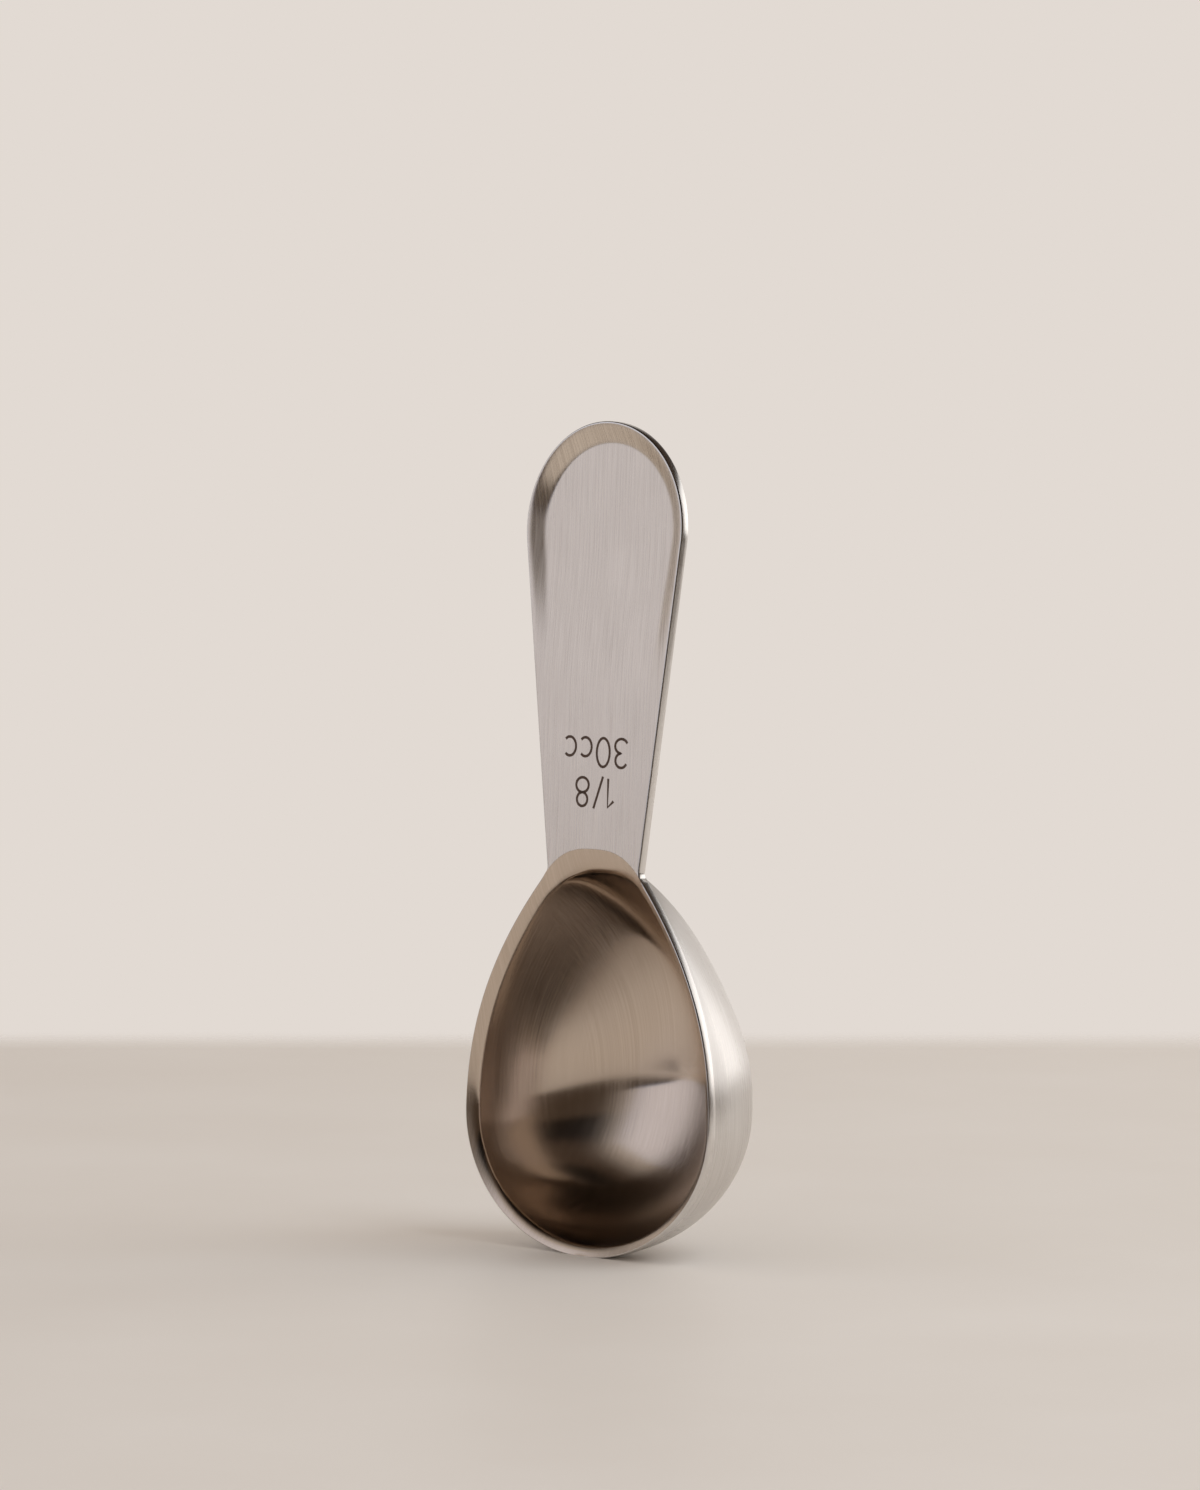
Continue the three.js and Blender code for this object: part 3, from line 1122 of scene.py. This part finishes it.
@dataclass
class CapacityMarks:
    """Two lines of plain figures etched into the blade, read with the bowl held upwards."""

    upper_height: float = 75.6
    lower_height: float = 69.6
    cap_height: float = 4.3
    stroke: float = 0.42
    sunk: float = 0.06
    proud: float = 0.012
    letter_gap: float = 1.1
    sharp_above: float = math.radians(30)

    def glyph(self, sign: str) -> tuple[float, list[np.ndarray], bool]:
        """Draws one sign on a unit cap height.

        Args:
            sign: a digit, a slash or the letter c.

        Returns:
            Its width, its strokes and whether they are loops.
        """
        glyphs = {
            "0": (0.62, [arc((0.31, 0.5), (0.31, 0.5), 0, 360)[:-1]], True),
            "1": (0.28, [np.array([(0.0, 0.78), (0.28, 1.0), (0.28, 0.0)])], False),
            "3": (0.57, [np.vstack([
                arc((0.27, 0.75), (0.27, 0.25), 155, -90),
                arc((0.27, 0.25), (0.3, 0.25), 90, -155)[1:],
            ])], False),
            "8": (0.6, [
                arc((0.3, 0.76), (0.25, 0.24), 0, 360)[:-1],
                arc((0.3, 0.26), (0.3, 0.26), 0, 360)[:-1],
            ], True),
            "c": (0.5, [arc((0.3, 0.33), (0.3, 0.33), 48, 312)], False),
            "/": (0.42, [np.array([(0.0, -0.06), (0.42, 1.06)])], False),
        }
        return glyphs[sign]

    def line(self, text: str) -> tuple[list[np.ndarray], list[bool]]:
        """Sets one line of signs about its own middle.

        Args:
            text: the signs.

        Returns:
            The strokes and whether each is a loop.
        """
        strokes = []
        closed = []
        pen = 0.0
        for sign in text:
            width, drawn, loops = self.glyph(sign)
            strokes += [points * self.cap_height + (pen, -self.cap_height / 2) for points in drawn]
            closed += [loops] * len(drawn)
            pen += width * self.cap_height + self.letter_gap
        middle = (pen - self.letter_gap) / 2
        return [points - (middle, 0) for points in strokes], closed

    def tree(self) -> NodeTree:
        """Builds the geometry tree: a flat bar swept along every stroke.

        Returns:
            The tree, whose inputs are the bar's sizes in millimetres.
        """
        tree, given = new_geometry_tree("etched_strokes", {
            "Stroke": "NodeSocketFloat",
            "Depth": "NodeSocketFloat",
            "Material": "NodeSocketMaterial",
        })
        bar = add_node(
            tree, "GeometryNodeCurvePrimitiveQuadrilateral",
            {"Width": given["Stroke"], "Height": given["Depth"]},
            {"mode": "RECTANGLE"},
        )
        finish_sweep(tree, given["Geometry"], bar.outputs[0], given["Material"])
        return tree

    def dress(self) -> Object:
        """Etches both lines into the front of the blade, upside down.

        Returns:
            The dressed marks.
        """
        strokes = []
        closed = []
        for text, height in (("30cc", self.upper_height), ("1/8", self.lower_height)):
            drawn, loops = self.line(text)
            # Turned half round in the plane of the blade
            strokes += [points * (-1, -1) + (0, height) for points in drawn]
            closed += loops
        path = poly_curve("mark_strokes", strokes, closed)
        depth = self.sunk + self.proud
        mesh = baked_nodes(path, self.tree(), {
            "Stroke": self.stroke,
            "Depth": depth,
            "Material": EtchedOxide().material(),
        })
        middle = depth / 2 - self.proud
        onto_front = Matrix(((1, 0, 0, 0), (0, 0, -1, middle), (0, 1, 0, 0), (0, 0, 0, 1)))
        mesh.transform(STANCE.matrix() @ onto_front)
        mesh.set_sharp_from_angle(angle=self.sharp_above)
        mesh.name = "capacity_marks"
        piece = new_object("capacity_marks", mesh)
        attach(piece, BODY)
        return piece


# Studio


@dataclass(frozen=True)
class PhotoCamera:
    """A long lens, a little above the middle of the scoop and to the right of its front."""

    azimuth: float = math.radians(43.92)
    elevation: float = math.radians(3.1)
    distance: float = 850.0
    aim_right: float = 2.96
    aim_height: float = 76.73
    # Focal length and frame height in the photograph's pixels
    focal_pixels: float = 5711.0
    frame_pixels: float = 1490.0
    sensor: float = 36.0
    nearest: float = 10.0

    def towards(self) -> Vector:
        """Level direction from the scoop to the camera."""
        return Vector((math.sin(self.azimuth), -math.cos(self.azimuth), 0))

    def right(self) -> Vector:
        """Level direction to the camera's right."""
        return Vector((math.cos(self.azimuth), math.sin(self.azimuth), 0))

    def place(self) -> Object:
        """Makes the scene's camera.

        Returns:
            The camera, which the scene now looks through.
        """
        foot = STANCE.matrix().to_translation()
        aim = foot + self.right() * self.aim_right * METRES + Vector((0, 0, self.aim_height * METRES))
        back = self.towards() * math.cos(self.elevation) + Vector((0, 0, math.sin(self.elevation)))
        data = bpy.data.cameras.new("photo_camera")
        data.sensor_width = self.sensor
        data.lens = self.sensor * self.focal_pixels / self.frame_pixels
        data.clip_start = self.nearest * METRES
        camera = bpy.data.objects.new("photo_camera", data)
        camera.location = aim + back * self.distance * METRES
        camera.rotation_mode = "QUATERNION"
        camera.rotation_quaternion = (-back).to_track_quat("-Z", "Y")
        bpy.context.scene.collection.objects.link(camera)
        bpy.context.scene.camera = camera
        return camera


@dataclass(frozen=True)
class SoftLamp:
    """A flat soft lamp: its turn from the camera in degrees, its place, its size and its radiance."""

    name: str
    turn: float
    distance: float
    middle: float
    # Height over the table of the point that it faces
    faces: float
    width: float
    height: float
    radiance: float
    colour: str = "#ffffff"
    # Whether the steel shows it
    mirrored: bool = True


@dataclass(frozen=True)
class SoftGap:
    """A gap with soft borders in a dark screen, in degrees of turn from the camera and of rise."""

    # The gap opens from the first turn to the second, and closes from the third to the fourth
    turns: tuple[float, float, float, float]
    # It closes upwards from the first rise to the second
    rises: tuple[float, float]

    def share(self, turn: float, rise: float) -> float:
        """Works out how far the screen is open in a direction.

        Args:
            turn: degrees from the camera, to its right.
            rise: degrees above the table.

        Returns:
            0 where it is closed, up to 1 in the gap.
        """
        start, full, closing, end = self.turns
        turn = start + (turn - start) % 360
        across = smoothstep(turn, start, full) - smoothstep(turn, closing, end)
        return float(across * (1 - smoothstep(rise, *self.rises)))


@dataclass(frozen=True)
class DarkScreen:
    """A dark screen round the scoop: its turns from the camera and its rises, in degrees."""

    name: str
    turns: tuple[float, float]
    rises: tuple[float, float]
    gaps: tuple[SoftGap, ...] = ()

    def cover(self, turn: float, rise: float) -> float:
        """How closed the screen is in a direction, from 0 to 1."""
        return 1 - max((gap.share(turn, rise) for gap in self.gaps), default=0.0)


@dataclass
class Studio:
    """A pale table in a pale surround, with soft lamps on both sides and a dark hood in front.

    Directions round the scoop are in degrees from the camera, to its right as the camera sees it.
    """

    camera: PhotoCamera = field(default_factory=PhotoCamera)
    wall: str = "#e2dad3"
    room: str = "#d9cfc4"
    room_light: float = 0.92
    table_finish: PaleTable = field(default_factory=PaleTable)
    # The near border is what the floor of the bowl mirrors as a sharp dark line
    table_front: float = 215.0
    table_left: float = 500.0
    table_right: float = 400.0
    cloth: DarkCloth = field(default_factory=DarkCloth)
    screen_steps: int = 120
    # A hood all round, open to a pale room on the left, on the right and behind
    hood: DarkScreen = DarkScreen(
        "dark_hood", turns=(-180, 180), rises=(-30, 90),
        gaps=(SoftGap((-130, -94, -64, -20), (38, 60)), SoftGap((74, 94, 230, 250), (16, 44))),
    )
    # What stands beyond the ends of the table
    right_end: DarkScreen = DarkScreen("dark_right_end", turns=(79, 97), rises=(-30, 4))
    left_end: DarkScreen = DarkScreen("dark_left_end", turns=(-76, -38), rises=(-30, 2))
    # A broad window behind on the right, which the back of the bowl and the rim mirror
    window: SoftLamp = SoftLamp(
        "window_lamp", turn=112, distance=800, middle=320, faces=320, width=700, height=530, radiance=1.1,
    )
    # A dim, cool fill on the left
    fill: SoftLamp = SoftLamp(
        "fill_lamp", turn=-76, distance=800, middle=400, faces=400, width=900, height=760, radiance=0.32,
        colour="#a8c8ff",
    )
    # Lights the table from high on the right, for the scoop's shadow
    key: SoftLamp = SoftLamp(
        "key_lamp", turn=64, distance=700, middle=830, faces=0, width=700, height=700, radiance=3.7,
        colour="#e8f4ff", mirrored=False,
    )

    def heading(self, turn: float) -> Vector:
        """Level direction at a turn from the camera, in degrees, towards its right."""
        angle = math.radians(turn)
        return self.camera.towards() * math.cos(angle) + self.camera.right() * math.sin(angle)

    def table(self) -> Object:
        """Lays the table square to the camera, with its plan in millimetres as a UV map.

        Returns:
            The table.
        """
        behind = self.table_finish.behind
        plan = [
            (-self.table_left, -self.table_front),
            (self.table_right, -self.table_front),
            (self.table_right, behind),
            (-self.table_left, behind),
        ]
        away = -self.camera.towards()
        corners = [(self.camera.right() * x + away * y) * METRES for x, y in plan]
        mesh = bpy.data.meshes.new("table")
        mesh.from_pydata(corners, [], [(0, 1, 2, 3)])
        spots = mesh.uv_layers.new(name=TABLE_PLAN)
        for loop in mesh.loops:
            spots.data[loop.index].uv = plan[loop.vertex_index]
        table = new_object("table", mesh)
        table.data.materials.append(self.table_finish.material())
        return table

    def put_up(self, screen: DarkScreen) -> Object:
        """Puts a dark screen on a sphere round the scoop, where only the steel mirrors it.

        Args:
            screen: where it stands and where it is open.

        Returns:
            The screen's object, which carries its cover as an attribute.
        """
        turns = np.linspace(*screen.turns, self.screen_steps)
        rises = np.linspace(*screen.rises, self.screen_steps // 2)
        points = []
        cover = []
        for turn in turns:
            level = self.heading(turn)
            for rise in rises:
                ray = level * math.cos(math.radians(rise)) + Vector((0, 0, math.sin(math.radians(rise))))
                points.append(ray * self.cloth.radius * METRES)
                cover.append(screen.cover(turn, rise))
        count = len(rises)
        faces = [
            (i * count + j, i * count + j + 1, (i + 1) * count + j + 1, (i + 1) * count + j)
            for i in range(len(turns) - 1)
            for j in range(count - 1)
        ]
        mesh = bpy.data.meshes.new(screen.name)
        mesh.from_pydata(points, [], faces)
        mesh.attributes.new(COVER, "FLOAT", "POINT").data.foreach_set("value", cover)
        mesh.materials.append(self.cloth.material())
        piece = new_object(screen.name, mesh)
        piece.visible_camera = False
        piece.visible_diffuse = False
        piece.visible_shadow = False
        return piece

    def hang(self, lamp: SoftLamp) -> Object:
        """Hangs a soft lamp that faces the scoop, unseen by the camera itself.

        Args:
            lamp: its place, size, colour and radiance.

        Returns:
            The lamp's object.
        """
        area = lamp.width * lamp.height * METRES ** 2
        data = bpy.data.lights.new(lamp.name, "AREA")
        data.shape = "RECTANGLE"
        data.size = lamp.width * METRES
        data.size_y = lamp.height * METRES
        data.energy = lamp.radiance * math.pi * area
        data.color = linear(lamp.colour)[:3]
        hung = bpy.data.objects.new(lamp.name, data)
        level = self.heading(lamp.turn) * lamp.distance
        hung.location = (level + Vector((0, 0, lamp.middle))) * METRES
        hung.rotation_mode = "QUATERNION"
        sight = Vector((0, 0, lamp.faces - lamp.middle)) - level
        hung.rotation_quaternion = sight.to_track_quat("-Z", "Y")
        hung.visible_camera = False
        hung.visible_glossy = lamp.mirrored
        bpy.context.scene.collection.objects.link(hung)
        return hung

    def surround(self) -> None:
        """Fills the world with the colour of a pale wall, and lights the table with a warmer room."""
        world = bpy.data.worlds.new("pale_surround")
        world.use_nodes = True
        tree = world.node_tree
        tree.nodes.clear()
        ray = add_node(tree, "ShaderNodeLightPath").outputs
        seen = ray["Is Camera Ray"]
        for other in ("Is Glossy Ray", "Is Transmission Ray"):
            seen = add_node(
                tree, "ShaderNodeMath", {0: seen, 1: ray[other]}, {"operation": "MAXIMUM"},
            ).outputs[0]
        room = add_node(
            tree, "ShaderNodeBackground", {"Color": linear(self.room), "Strength": self.room_light},
        )
        wall = add_node(tree, "ShaderNodeBackground", {"Color": linear(self.wall)})
        either = add_node(
            tree, "ShaderNodeMixShader", {0: seen, 1: room.outputs[0], 2: wall.outputs[0]},
        )
        add_node(tree, "ShaderNodeOutputWorld", {"Surface": either.outputs[0]})
        bpy.context.scene.world = world

    def build(self) -> None:
        """Sets up the camera, the table, the surround, the hood and the lamps."""
        self.camera.place()
        self.table()
        self.surround()
        for screen in (self.hood, self.right_end, self.left_end):
            self.put_up(screen)
        for lamp in (self.window, self.fill, self.key):
            self.hang(lamp)
        bpy.context.scene.view_settings.view_transform = "Standard"


def main() -> None:
    """Builds the studio and every piece of the scoop in order."""
    logging.basicConfig(level=logging.INFO, format="%(name)s: %(message)s")
    Studio().build()
    for part in (Bowl(), Handle(), NeckWeld(), CapacityMarks()):
        piece = part.dress()
        log.info("%s has %d faces", piece.name, len(piece.data.polygons))


if __name__ == "__main__":
    main()
